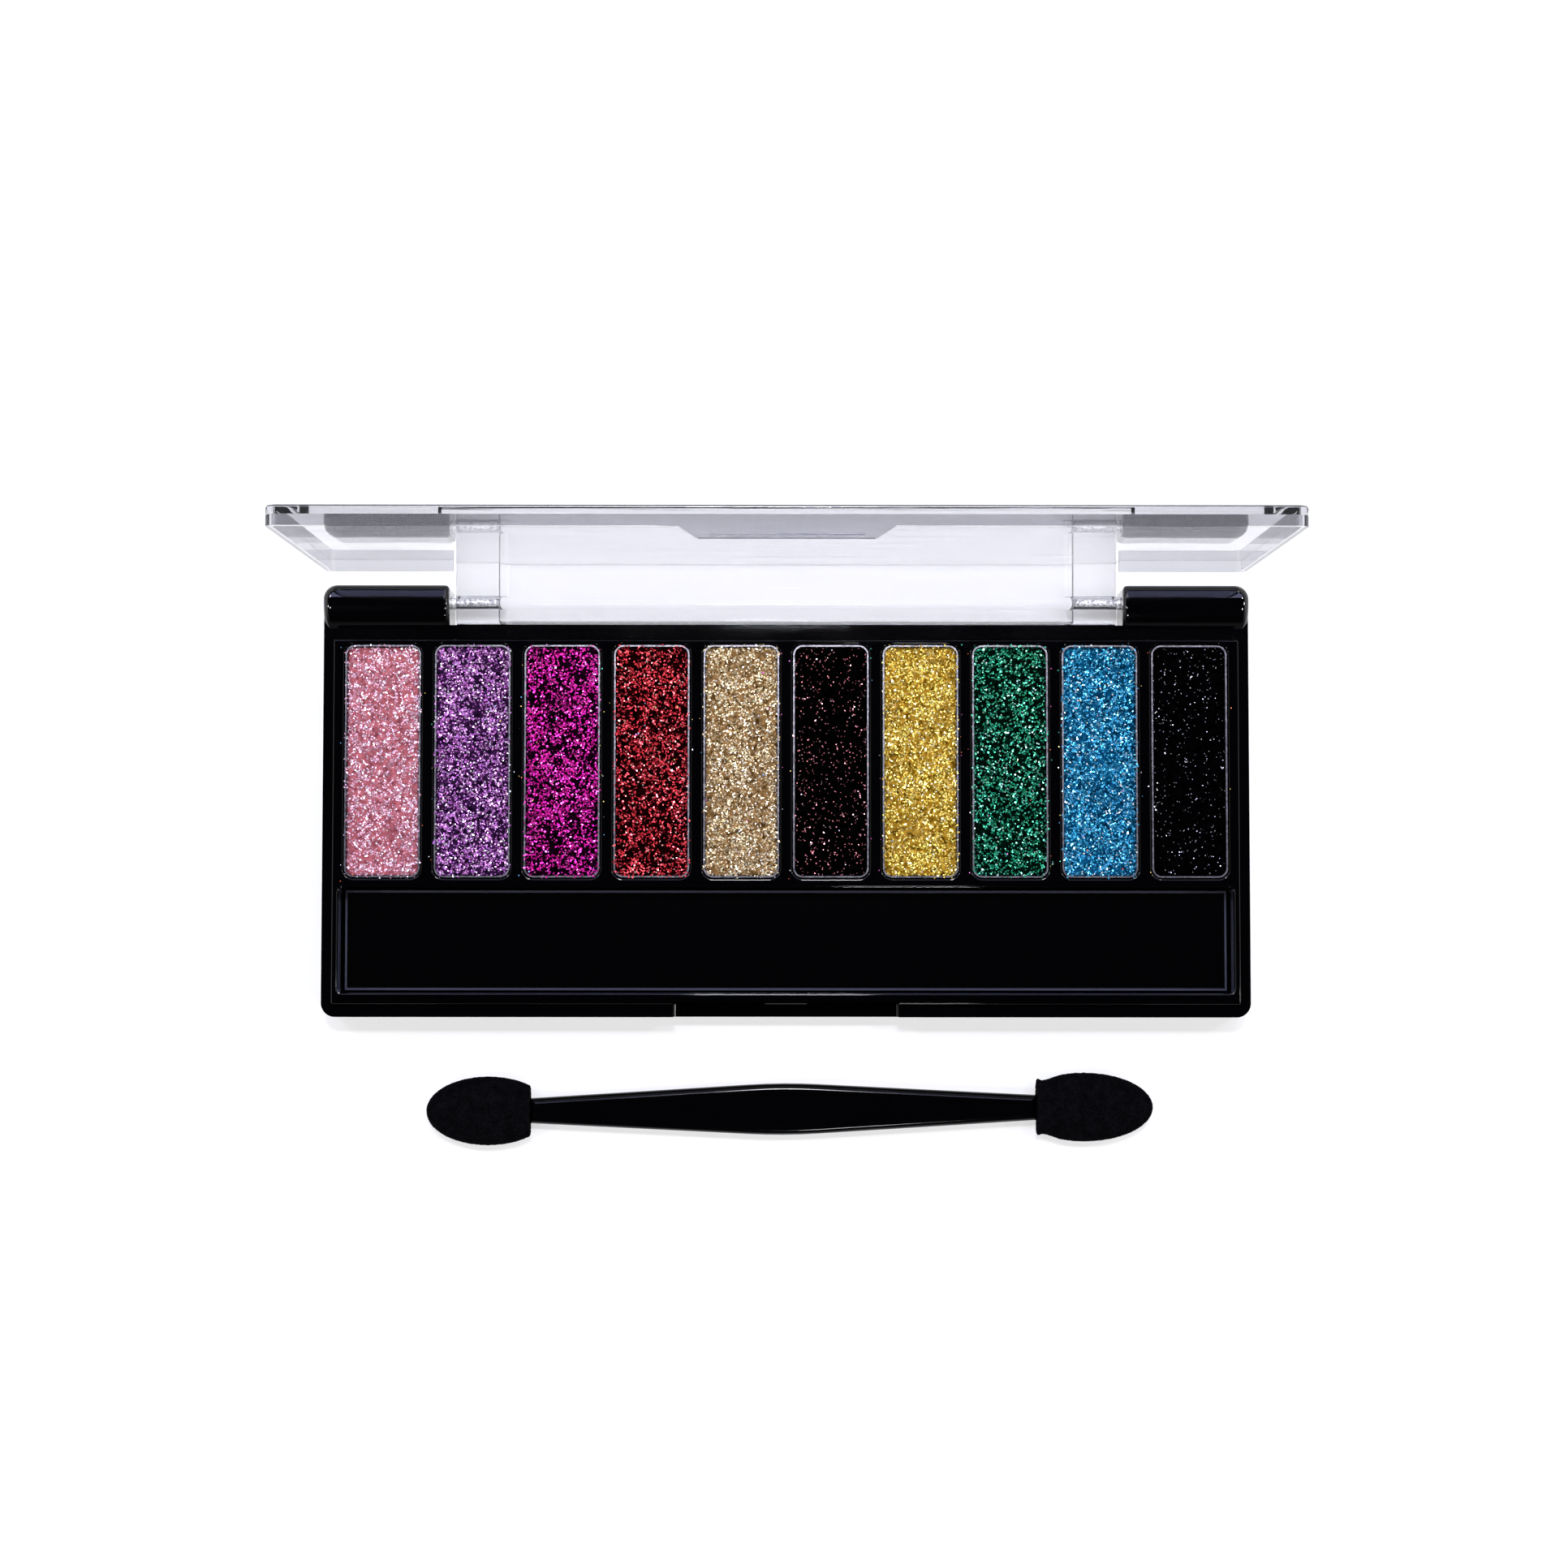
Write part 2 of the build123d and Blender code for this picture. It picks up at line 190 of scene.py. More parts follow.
def black_polystyrene(name, polish, gloss):
    """Injection-moulded black polystyrene: a hard mirror gloss, gently wavy where it shrank."""
    material, tree, skin = new_material(
        name, Base_Color=rgba("#020203"), IOR=1.59, Specular_IOR_Level=gloss
    )
    place = node(tree, "ShaderNodeTexCoord").outputs["Object"]
    # Finger smudges are about 9 mm wide, and the fine scuffs between them 0.6 mm.
    smudge = node(
        tree, "ShaderNodeTexNoise", {"Vector": place, "Scale": per_metre(9), "Detail": 5.0}
    )
    fine = node(
        tree, "ShaderNodeTexNoise", {"Vector": place, "Scale": per_metre(0.6), "Detail": 3.0}
    )
    mixed = node(
        tree, "ShaderNodeMix",
        {"Factor": 0.3, "A": smudge.outputs["Fac"], "B": fine.outputs["Fac"]}, data_type="FLOAT",
    )
    # The smudges make the polish up to 2.2 times as rough.
    rough = node(
        tree, "ShaderNodeMapRange",
        {
            "Value": mixed.outputs["Result"], "From Min": 0.3, "From Max": 0.7,
            "To Min": polish, "To Max": polish * 2.2,
        },
    )
    tree.links.new(rough.outputs["Result"], skin["Roughness"])
    # Sink marks over the ribs and wells are about 7 mm wide.
    wave = node(
        tree, "ShaderNodeTexNoise", {"Vector": place, "Scale": per_metre(7), "Detail": 1.0}
    )
    shrink = node(
        tree, "ShaderNodeBump",
        {"Height": wave.outputs["Fac"], "Distance": 0.03 * MM, "Strength": 0.5},
    )
    scuff = node(
        tree, "ShaderNodeBump",
        {
            "Height": fine.outputs["Fac"], "Distance": 0.003 * MM, "Strength": 0.5,
            "Normal": shrink.outputs["Normal"],
        },
    )
    tree.links.new(scuff.outputs["Normal"], skin["Normal"])
    return material


def clear_polystyrene(name):
    """Injection-moulded crystal polystyrene: clear and cold, with faint flow lines."""
    material, tree, skin = new_material(
        name, Base_Color=rgba("#CECED2"), IOR=1.59, Roughness=0.02, Transmission_Weight=0.985
    )
    place = node(tree, "ShaderNodeTexCoord").outputs["Object"]
    # Flow lines are 5 mm wide and run four times as long across the lid.
    flow = node(tree, "ShaderNodeMapping", {"Vector": place, "Scale": (0.25, 1.0, 1.0)})
    wave = node(
        tree, "ShaderNodeTexNoise",
        {"Vector": flow.outputs["Vector"], "Scale": per_metre(5), "Detail": 2.0},
    )
    bump = node(
        tree, "ShaderNodeBump",
        {"Height": wave.outputs["Fac"], "Distance": 0.02 * MM, "Strength": 0.5},
    )
    tree.links.new(bump.outputs["Normal"], skin["Normal"])
    return material


def drawn_steel(name):
    """Cropped steel wire with a chalky zinc coat: silvery white, scratched along its length."""
    material, tree, skin = new_material(name, Metallic=0.65, Roughness=0.6)
    place = node(tree, "ShaderNodeTexCoord").outputs["Object"]
    # Die scratches are 0.08 mm wide and run along the wire. The zinc's chalky spots are 0.35 mm.
    lines = node(tree, "ShaderNodeMapping", {"Vector": place, "Scale": (0.02, 1.0, 1.0)})
    grain = node(
        tree, "ShaderNodeTexNoise",
        {"Vector": lines.outputs["Vector"], "Scale": per_metre(0.08), "Detail": 2.0},
    )
    spots = node(
        tree, "ShaderNodeTexNoise", {"Vector": place, "Scale": per_metre(0.35), "Detail": 4.0}
    )
    tone = node(
        tree, "ShaderNodeValToRGB", {"Fac": spots.outputs["Fac"]},
        stops=((0.4, rgba("#9C9CA2")), (0.52, rgba("#FAFAFC"))),
    )
    tree.links.new(tone.outputs["Color"], skin["Base Color"])
    bump = node(
        tree, "ShaderNodeBump",
        {"Height": grain.outputs["Fac"], "Distance": 0.01 * MM, "Strength": 0.4},
    )
    tree.links.new(bump.outputs["Normal"], skin["Normal"])
    return material


def pressed_aluminium(name):
    """Deep-drawn aluminium foil stock: satin, with a soft grain and draw marks on the rim."""
    material, tree, skin = new_material(name, Metallic=1.0, Roughness=0.26)
    place = node(tree, "ShaderNodeTexCoord").outputs["Object"]
    # Draw marks are half a millimetre wide.
    grain = node(
        tree, "ShaderNodeTexNoise", {"Vector": place, "Scale": per_metre(0.5), "Detail": 4.0}
    )
    tone = node(
        tree, "ShaderNodeValToRGB", {"Fac": grain.outputs["Fac"]},
        stops=((0.3, rgba("#4A4A52")), (0.7, rgba("#84828C"))),
    )
    tree.links.new(tone.outputs["Color"], skin["Base Color"])
    bump = node(
        tree, "ShaderNodeBump",
        {"Height": grain.outputs["Fac"], "Distance": 0.02 * MM, "Strength": 0.5},
    )
    tree.links.new(bump.outputs["Normal"], skin["Normal"])
    return material


def glitter_film(name, metallic, roughness):
    """Cut polyester film with a metal or pearl layer: each flake's colour is an attribute."""
    material, tree, skin = new_material(name, Metallic=metallic, Roughness=roughness)
    own = node(tree, "ShaderNodeAttribute", attribute_name="flake_colour")
    tree.links.new(own.outputs["Color"], skin["Base Color"])
    return material


def pressed_binder(name, deep, light):
    """Pressed powder and gel between the flakes: matt and clotted, painted darker in its pits as
    shade.
    """
    material, tree, skin = new_material(name, Roughness=0.8, Specular_IOR_Level=0.0)
    place = node(tree, "ShaderNodeTexCoord").outputs["Object"]
    # Clots of binder are 0.7 mm wide, three flakes or so.
    clots = node(
        tree, "ShaderNodeTexNoise",
        {"Vector": place, "Scale": per_metre(0.7), "Detail": 6.0, "Roughness": 0.7},
    )
    # The binder's tone varies over its clots and is painted darker where the bump sinks: painted
    # shade in the pits.
    tone = node(
        tree, "ShaderNodeValToRGB", {"Fac": clots.outputs["Fac"]},
        stops=((0.38, (*deep, 1.0)), (0.62, (*light, 1.0))),
    )
    tree.links.new(tone.outputs["Color"], skin["Base Color"])
    bump = node(
        tree, "ShaderNodeBump",
        {"Height": clots.outputs["Fac"], "Distance": 0.12 * MM, "Strength": 0.8},
    )
    tree.links.new(bump.outputs["Normal"], skin["Normal"])
    return material


def silvered_glass(name, low, high):
    """Silvered float glass with ground edges: a clean mirror inside a matt grey-blue border."""
    material, tree, skin = new_material(name)
    place = node(tree, "ShaderNodeTexCoord").outputs["Object"]
    axes = node(tree, "ShaderNodeSeparateXYZ", {"Vector": place})
    inside = []
    for axis, index in (("X", 0), ("Y", 1)):
        middle = (low[index] + high[index]) / 2
        reach = (high[index] - low[index]) / 2 - MIRROR_GROUND_EDGE
        off = node(
            tree, "ShaderNodeMath", {0: axes.outputs[axis], 1: middle}, operation="SUBTRACT"
        )
        away = node(tree, "ShaderNodeMath", {0: off.outputs[0]}, operation="ABSOLUTE")
        edge = node(tree, "ShaderNodeMath", {0: away.outputs[0], 1: reach}, operation="LESS_THAN")
        inside.append(edge.outputs[0])
    both = node(tree, "ShaderNodeMath", {0: inside[0], 1: inside[1]}, operation="MULTIPLY")
    silver = both.outputs[0]
    # Dust lies in patches 1.5 mm wide.
    dust = node(
        tree, "ShaderNodeTexNoise",
        {"Vector": place, "Scale": per_metre(1.5), "Detail": 8.0, "Roughness": 0.75},
    )
    film = node(
        tree, "ShaderNodeValToRGB", {"Fac": dust.outputs["Fac"]},
        stops=((0.55, rgba("#C8CCD6")), (0.78, rgba("#DCE0EA"))),
    )
    colour = node(
        tree, "ShaderNodeMix",
        {"Factor": silver, "A": rgba("#62647A"), "B": film.outputs["Color"]}, data_type="RGBA",
    )
    tree.links.new(colour.outputs["Result"], skin["Base Color"])
    tree.links.new(silver, skin["Metallic"])
    rough = node(tree, "ShaderNodeMapRange", {"Value": silver, "To Min": 0.55, "To Max": 0.04})
    tree.links.new(rough.outputs["Result"], skin["Roughness"])
    return material


def open_cell_foam(name, cell):
    """Die-cut open-cell polyurethane foam: dead matt, with pin-prick pores."""
    material, tree, skin = new_material(name, Roughness=0.95, Specular_IOR_Level=0.02)
    place = node(tree, "ShaderNodeTexCoord").outputs["Object"]
    # The real pores are 0.2 mm wide. They are drawn half as wide again, so that they show.
    pores = node(
        tree, "ShaderNodeTexVoronoi", {"Vector": place, "Scale": 1 / cell}, feature="F1"
    )
    # The skin is unevenly lit over lumps 1.1 mm wide.
    lumps = node(
        tree, "ShaderNodeTexNoise", {"Vector": place, "Scale": per_metre(1.1), "Detail": 4.0}
    )
    # The pores are painted black: painted shade inside the holes.
    pits = node(
        tree, "ShaderNodeValToRGB", {"Fac": pores.outputs["Distance"]},
        stops=((0.12, rgba("#000000")), (0.45, rgba("#0A0A0D"))),
    )
    wide = node(
        tree, "ShaderNodeValToRGB", {"Fac": lumps.outputs["Fac"]},
        stops=((0.35, rgba("#B8B8BC")), (0.65, rgba("#FFFFFF"))),
    )
    tone = node(
        tree, "ShaderNodeMix",
        {"Factor": 1.0, "A": pits.outputs["Color"], "B": wide.outputs["Color"]},
        data_type="RGBA", blend_type="MULTIPLY",
    )
    tree.links.new(tone.outputs["Result"], skin["Base Color"])
    bump = node(
        tree, "ShaderNodeBump",
        {"Height": pores.outputs["Distance"], "Distance": 0.12 * MM, "Strength": 0.9},
    )
    tree.links.new(bump.outputs["Normal"], skin["Normal"])
    return material


def hot_melt(name):
    """Cooled hot-melt glue: cloudy amber drops pressed flat."""
    material, tree, skin = new_material(name, Roughness=0.35, Subsurface_Weight=0.2)
    place = node(tree, "ShaderNodeTexCoord").outputs["Object"]
    # The cloudiness changes over a millimetre.
    cloudy = node(
        tree, "ShaderNodeTexNoise", {"Vector": place, "Scale": per_metre(1), "Detail": 3.0}
    )
    tone = node(
        tree, "ShaderNodeValToRGB", {"Fac": cloudy.outputs["Fac"]},
        stops=((0.3, rgba("#C9BC8C")), (0.7, rgba("#E6DEC2"))),
    )
    tree.links.new(tone.outputs["Color"], skin["Base Color"])
    return material


def acrylic_tape(name):
    """White double-sided acrylic foam tape with a fine tissue grain."""
    material, tree, skin = new_material(name, Roughness=0.7)
    place = node(tree, "ShaderNodeTexCoord").outputs["Object"]
    # The tissue's grain is 0.3 mm wide.
    tissue = node(
        tree, "ShaderNodeTexNoise", {"Vector": place, "Scale": per_metre(0.3), "Detail": 4.0}
    )
    tone = node(
        tree, "ShaderNodeValToRGB", {"Fac": tissue.outputs["Fac"]},
        stops=((0.3, rgba("#DCDCDC")), (0.7, rgba("#F4F4F4"))),
    )
    tree.links.new(tone.outputs["Color"], skin["Base Color"])
    return material


def opal_acrylic(name):
    """A matt opal acrylic table top, lit softly from below."""
    return new_material(
        name, Base_Color=rgba("#BCBCBD"), Roughness=0.9, Specular_IOR_Level=0.1,
        Emission_Color=rgba("#FFFFFF"), Emission_Strength=0.52,
    )[0]


# ---- Settings ----

class ShadeSettings(bpy.types.PropertyGroup):
    """One pan's glitter: the binder's two tones, the flakes' tones and how densely they lie."""

    name: StringProperty(name="Shade", description="Plain name of the colour", default="shade")
    # Deep is the binder's tone with painted shade in its pits; light is the binder on its clots.
    deep: FloatVectorProperty(
        name="Binder deep", description="Binder in its pits", subtype="COLOR", default=(0, 0, 0),
    )
    light: FloatVectorProperty(
        name="Binder light", description="Binder on its clots", subtype="COLOR", default=(0, 0, 0),
    )
    flake: FloatVectorProperty(
        name="Flake", description="Usual flake", subtype="COLOR", default=(1, 1, 1),
    )
    second: FloatVectorProperty(
        name="Second flake", description="Flake of the second tone", subtype="COLOR",
        default=(1, 1, 1),
    )
    # Painted highlight: a few flakes take this near-white colour, which paints a glint on them.
    painted_highlight: FloatVectorProperty(
        name="Spark", description="Brightest flake", subtype="COLOR", default=(1, 1, 1),
    )
    cover: FloatProperty(
        name="Cover", description="Flake area over pan area", default=1.0, min=0.0, max=2.0,
    )
    clumping: FloatProperty(
        name="Clumping", description="How unevenly the flakes lie", default=0.5, min=0.0, max=1.0,
    )
    metallic: FloatProperty(
        name="Metallic", description="Metal film rather than pearl film", default=0.8, min=0.0,
        max=1.0,
    )
    fineness: FloatProperty(
        name="Fineness", description="Flake size against the usual size", default=1.0, min=0.3,
        max=2.0,
    )


class GlitterSettings(bpy.types.PropertyGroup):
    """Sizes shared by all the pans' glitter."""

    flake_size: FloatProperty(
        name="Flake size", description="Flake across its flats", default=0.22 * MM, unit="LENGTH",
    )
    flake_tilt: FloatProperty(
        name="Flake tilt", description="Usual lean of a flake", default=math.radians(17),
        subtype="ANGLE",
    )
    press_depth: FloatProperty(
        name="Press unevenness", description="Height of the cake's lumps", default=0.16 * MM,
        unit="LENGTH",
    )
    spilled: IntProperty(
        name="Spilled flakes", description="Flakes on each pan's rim", default=90, min=0,
    )
    stray_count: IntProperty(
        name="Stray flakes", description="Loose flakes on the deck", default=80, min=0,
    )
    shades: CollectionProperty(
        type=ShadeSettings, name="Shades", description="Pans from left to right",
    )


class FoamSettings(bpy.types.PropertyGroup):
    """The applicator's foam tips."""

    cell_size: FloatProperty(
        name="Cell size", description="Foam cell", default=0.3 * MM, unit="LENGTH",
    )
    roughness: FloatProperty(
        name="Skin unevenness",
        description="Height of the cut skin's lumps", default=0.14 * MM, unit="LENGTH",
    )


class StudioSettings(bpy.types.PropertyGroup):
    """The lights and the camera."""

    camera_height: FloatProperty(
        name="Camera height", description="Height over the table", default=396.7 * MM,
        unit="LENGTH",
    )
    lens: FloatProperty(name="Lens", description="Focal length in millimetres", default=70.4)
    tent_light: FloatProperty(
        name="Tent light", description="Brightness of the white tent's walls", default=1.2,
    )
    tent_lean: FloatProperty(
        name="Tent lean", description="Degrees the tent's opening leans to the front",
        default=-9.0,
    )
    front_share: FloatProperty(
        name="Front share", description="Light of the open front against the walls", default=0.1,
    )
    dark_cone: FloatProperty(
        name="Dark cone", description="Half angle of the dark opening above",
        default=math.radians(12), subtype="ANGLE",
    )
    bar_power: FloatProperty(
        name="Bar power", description="Power of the light bar behind the camera", default=4.0,
        unit="POWER",
    )
    key_power: FloatProperty(
        name="Key power", description="Power of the lamp that casts the shadow", default=3.0,
        unit="POWER",
    )
    spark_power: FloatProperty(
        name="Spark power", description="Power of each small lamp", default=1.0, unit="POWER",
    )


SHADE_KEYS = (
    "name", "deep", "light", "flake", "second", "painted_highlight",
    "cover", "clumping", "metallic", "fineness",
)
# The ten shades from left to right, in the order of SHADE_KEYS. Their sixth colour is a painted
# highlight.
SHADES = (
    ("pink", "#723842", "#B4646E", "#E6A8C0", "#F6CCE4", "#FFF8FF", 0.60, 0.85, 0.40, 1.0),
    ("lilac", "#0C0412", "#30163A", "#AE5EB6", "#CE94D4", "#FFF4FF", 0.74, 0.70, 0.50, 1.0),
    ("magenta", "#020002", "#160212", "#E616A4", "#BC0E84", "#FF74CC", 0.58, 0.80, 0.50, 1.0),
    ("red", "#030000", "#180204", "#E03440", "#B0202C", "#FFA8A0", 0.48, 0.80, 0.50, 1.0),
    ("champagne", "#3A2812", "#8C6A42", "#E8D2A8", "#CEAE7C", "#FFFDF2", 0.74, 0.65, 0.50, 1.0),
    ("black copper", "#000000", "#040303", "#D08088", "#8C4C54", "#FFD0D0", 0.048, 0.6, 0.6, 0.72),
    ("gold", "#402A04", "#A27A22", "#F6D466", "#DEAE34", "#FFFAC0", 0.80, 0.60, 0.50, 1.0),
    ("green", "#000302", "#03120C", "#128A62", "#3CB08C", "#C0FFE0", 0.48, 0.85, 0.50, 1.0),
    ("blue", "#021A2C", "#0A466C", "#2898C8", "#54B0DA", "#E4FCFF", 0.71, 0.65, 0.50, 1.0),
    ("black silver", "#000000", "#030304", "#A8A8B4", "#5C5C66", "#FFFFFF", 0.022, 0.6, 0.6, 0.64),
)
# Small lamps that make the flakes glint: direction round the table and lean from straight above,
# in radians.
SPARK_LAMPS = (
    (0.5, 0.5), (1.15, 0.75), (2.5, 0.55), (3.4, 0.8),
    (3.9, 0.45), (4.8, 0.7), (5.6, 0.55), (6.2, 0.85),
)
# Where the camera stands over the table, and how it is turned from looking straight down.
CAMERA_PLACE = (-0.73 * MM, -19.6 * MM)
CAMERA_TURN = (math.radians(3.19), math.radians(-0.071), math.radians(0.037))
# Colours of the loose flakes that have strayed from the pans.
STRAY_COLOURS = ("#F5D77A", "#E9E9F2", "#E86AC8", "#4FD0B0", "#6BB8F0", "#E8704A")


# ---- Glitter ----

def lay_flake(made, layer, centre, side, other, across, turn, colour):
    """Adds one thin hexagonal flake with its own colour to a mesh."""
    ring = []
    for corner in range(CORNERS_OF_A_FLAKE):
        angle = turn + corner * math.tau / CORNERS_OF_A_FLAKE
        vert = made.verts.new(centre + (side * math.cos(angle) + other * math.sin(angle)) * across)
        vert[layer] = (*colour, 1.0)
        ring.append(vert)
    return made.faces.new(ring)


def patches(x, y, layer, size_mm):
    """Slow noise over the cakes, from about -1 to 1, with patches this many millimetres wide."""
    return noise.noise(Vector((x, y, layer)) / (size_mm * MM))


def scatter_flakes(cake, rng, count, size, tilt, colours, clumping, rim_top, rim_count):
    """Lays thin hexagonal flakes on a cake's top and joins them to its mesh."""
    mesh = cake.data
    corners = np.array([v.co for v in mesh.vertices])
    low, high = corners.min(0), corners.max(0)
    ground = BVHTree.FromObject(cake, bpy.context.evaluated_depsgraph_get())
    flake, second, painted_highlight = (np.array(c) for c in colours)
    places = []
    while len(places) < count:
        x = rng.uniform(low[0], high[0])
        y = rng.uniform(low[1], high[1])
        patch = 0.8 * patches(x, y, low[0], 1.6) + 1.2 * patches(x, y, 1, 0.5)
        if rng.random() < clumping * (0.55 - patch):
            continue
        hit = ground.ray_cast(Vector((x, y, high[2] + MM)), -UP, 4 * MM)
        if hit[0] is None or hit[1].z < 0.3:
            continue
        # Thick and thin places in the fill make the flakes of a whole patch lighter or darker.
        depth = 1 + 0.45 * patches(x, y, 2, 2.4) + 0.2 * patches(x, y, 3, 0.7)
        places.append((hit[0], hit[1], depth))
    for _ in range(rim_count):
        # Some flakes spill over the pan's rim, which stands a little above the cake.
        out = rng.uniform(-0.1, 0.3) * MM
        along = rng.random()
        if rng.random() < SPILLED_AT_ENDS:
            spot = (low[0] + along * (high[0] - low[0]), rng.choice((low[1] - out, high[1] + out)))
        else:
            spot = (rng.choice((low[0] - out, high[0] + out)), low[1] + along * (high[1] - low[1]))
        places.append((Vector((*spot, rim_top + 0.02 * MM)), UP, 1.0))
    made = bmesh.new()
    made.from_mesh(mesh)
    layer = made.verts.layers.float_color.new("flake_colour")
    for spot, normal, depth in places:
        across = size * rng.uniform(0.62, 1.18) / 2
        lean = Vector((rng.gauss(0, 1), rng.gauss(0, 1), 0)) * math.tan(tilt)
        lean *= rng.choice((0.5, 1.0, 1.6))
        facing = (normal * 0.5 + UP + lean).normalized()
        side = facing.orthogonal().normalized()
        other = facing.cross(side)
        turn = rng.uniform(0, math.tau)
        lift = facing * rng.uniform(0.01, 0.05) * MM
        pick = rng.random()
        # The brightest tone is a painted highlight, a glint painted on the flake.
        base = painted_highlight if pick > PAINTED_HIGHLIGHT_FROM else second if pick > SECOND_FROM else flake
        if pick < FOREIGN_BELOW:
            base = np.array(linear(rng.choice(STRAY_COLOURS)))
        colour = np.clip(base * depth * rng.uniform(0.35, 1.5), 0, 1)
        lay_flake(made, layer, spot + lift, side, other, across, turn, colour).material_index = 1
    made.to_mesh(mesh)
    made.free()


def press_cake(name, low, high, uneven):
    """One pressed cake: a block with rounded corners, remeshed and left lumpy by the press."""
    bpy.ops.object.select_all(action="DESELECT")
    middle = (Vector(low) + Vector(high)) / 2
    bpy.ops.mesh.primitive_cube_add(size=1, location=middle)
    cake = bpy.context.object
    cake.name = name
    cake.data.name = name
    bpy.ops.object.mode_set(mode="EDIT")
    bpy.ops.mesh.select_all(action="SELECT")
    # The cake starts smaller than its solid, to leave room for its lumps and flakes.
    size = Vector(high) - Vector(low) - Vector((0.06, 0.06, 0.3)) * MM
    bpy.ops.transform.resize(value=size)
    cage = bmesh.from_edit_mesh(cake.data)
    for edge in cage.edges:
        along = edge.verts[0].co - edge.verts[1].co
        edge.select = abs(along.z) > abs(along.x) + abs(along.y)
    cage.select_flush_mode()
    bmesh.update_edit_mesh(cake.data)
    bpy.ops.mesh.bevel(offset=PAN_CORNER, segments=6, affect="EDGES")
    bpy.ops.object.mode_set(mode="OBJECT")
    apply_place(cake)
    apply_modifier(cake, "REMESH", mode="VOXEL", voxel_size=CAKE_VOXEL)
    lumps = clouds(f"{name}_lumps", CAKE_LUMP)
    apply_modifier(
        cake, "DISPLACE", texture=lumps, texture_coords="LOCAL", direction="Z", strength=uneven,
        mid_level=0.75,
    )
    select_only(cake)
    bpy.ops.object.shade_smooth()
    return cake


class PALETTE_OT_press_glitter(bpy.types.Operator):
    """Presses the ten glitter cakes into their aluminium pans"""

    bl_idname = "palette.press_glitter"
    bl_label = "Press glitter"

    def execute(self, context):
        settings = context.scene.palette_glitter
        if not settings.shades:
            raise RuntimeError("the palette has no shades")
        metal = pressed_aluminium("Aluminium sheet, deep drawn")
        for number, shade in enumerate(settings.shades, start=1):
            pan, powder = f"pan_{number:02d}", f"glitter_{number:02d}"
            dress(pan, metal)
            low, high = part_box(powder)
            cake = press_cake(f"glitter_cake_{number:02d}", low, high, settings.press_depth)
            label = f"{shade.name} glitter"
            binder = pressed_binder(f"Pressed powder, {label}", shade.deep, shade.light)
            film = glitter_film(f"Polyester film, {label}", shade.metallic, roughness=0.16)
            cake.data.materials.append(binder)
            cake.data.materials.append(film)
            area = (high[0] - low[0]) * (high[1] - low[1])
            flake_size = settings.flake_size * shade.fineness
            count = int(shade.cover * area / (FLAKE_AREA_SHARE * flake_size ** 2))
            rng = random.Random(SEED * number)
            colours = (shade.flake, shade.second, shade.painted_highlight)
            rim_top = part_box(pan)[1][2]
            rim_count = int(settings.spilled * min(1, shade.cover * 2))
            scatter_flakes(
                cake, rng, count, flake_size, settings.flake_tilt, colours, shade.clumping,
                rim_top, rim_count,
            )
            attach(cake, "case")
            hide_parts(powder)
        return {"FINISHED"}


class PALETTE_OT_scatter_strays(bpy.types.Operator):
    """Leaves a few loose flakes on the deck between the pans"""

    bl_idname = "palette.scatter_strays"
    bl_label = "Scatter stray flakes"

    def execute(self, context):
        settings = context.scene.palette_glitter
        rng = random.Random(SEED)
        boxes = [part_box(f"glitter_{n:02d}") for n in range(1, 11)]
        top = boxes[0][1][2] + 0.45 * MM
        made = bmesh.new()
        layer = made.verts.layers.float_color.new("flake_colour")
        wanted = settings.stray_count
        while wanted > 0:
            low, high = rng.choice(boxes)
            side = rng.choice((-1, 1))
            away = (high[0] - low[0]) / 2 + rng.uniform(0.42, 0.8) * MM
            x = (low[0] + high[0]) / 2 + side * away
            y = rng.uniform(low[1] - 0.8 * MM, high[1] + 0.8 * MM)
            # The pans' rims keep free of loose flakes.
            if any(
                b[0][0] - 0.4 * MM < x < b[1][0] + 0.4 * MM
                and b[0][1] - 0.5 * MM < y < b[1][1] + 0.5 * MM
                for b in boxes
            ):
                continue
            across = settings.flake_size * rng.uniform(0.2, 0.36)
            turn = rng.uniform(0, math.tau)
            side, other = Vector((1, 0, rng.gauss(0, 0.25))), Vector((0, 1, rng.gauss(0, 0.25)))
            colour = linear(rng.choice(STRAY_COLOURS))
            centre = Vector((x, y, top + across * 0.4))
            lay_flake(made, layer, centre, side, other, across, turn, colour)
            wanted -= 1
        mesh = bpy.data.meshes.new("stray_flakes")
        made.to_mesh(mesh)
        made.free()
        strays = bpy.data.objects.new("stray_flakes", mesh)
        context.scene.collection.objects.link(strays)
        film = glitter_film("Polyester film, loose flakes", metallic=0.5, roughness=0.2)
        mesh.materials.append(film)
        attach(strays, "case")
        return {"FINISHED"}


# ---- Case, lid, hinge and mirror ----

class PALETTE_OT_finish_case(bpy.types.Operator):
    """Gives the black case its moulded gloss, with the glue under the pans"""

    bl_idname = "palette.finish_case"
    bl_label = "Finish case"

    def execute(self, context):
        shell = black_polystyrene("Polystyrene, black, moulded shell", polish=0.035, gloss=0.45)
        deck = black_polystyrene("Polystyrene, black, moulded deck", polish=0.02, gloss=0.22)
        dress("base_shell", shell)
        dress("pan_deck", deck)
        dress("pan_glue", hot_melt("Hot-melt glue, pressed flat"))
        return {"FINISHED"}


class PALETTE_OT_finish_lid(bpy.types.Operator):
    """Makes the lid clear and its pins steel"""

    bl_idname = "palette.finish_lid"
    bl_label = "Finish lid and pins"

    def execute(self, context):
        dress("lid", clear_polystyrene("Crystal polystyrene, moulded"))
        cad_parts["lid"].visible_shadow = False
        wire = drawn_steel("Steel wire, drawn, zinc coated")
        for side in ("left", "right"):
            dress(f"hinge_pin_{side}", wire)
        return {"FINISHED"}


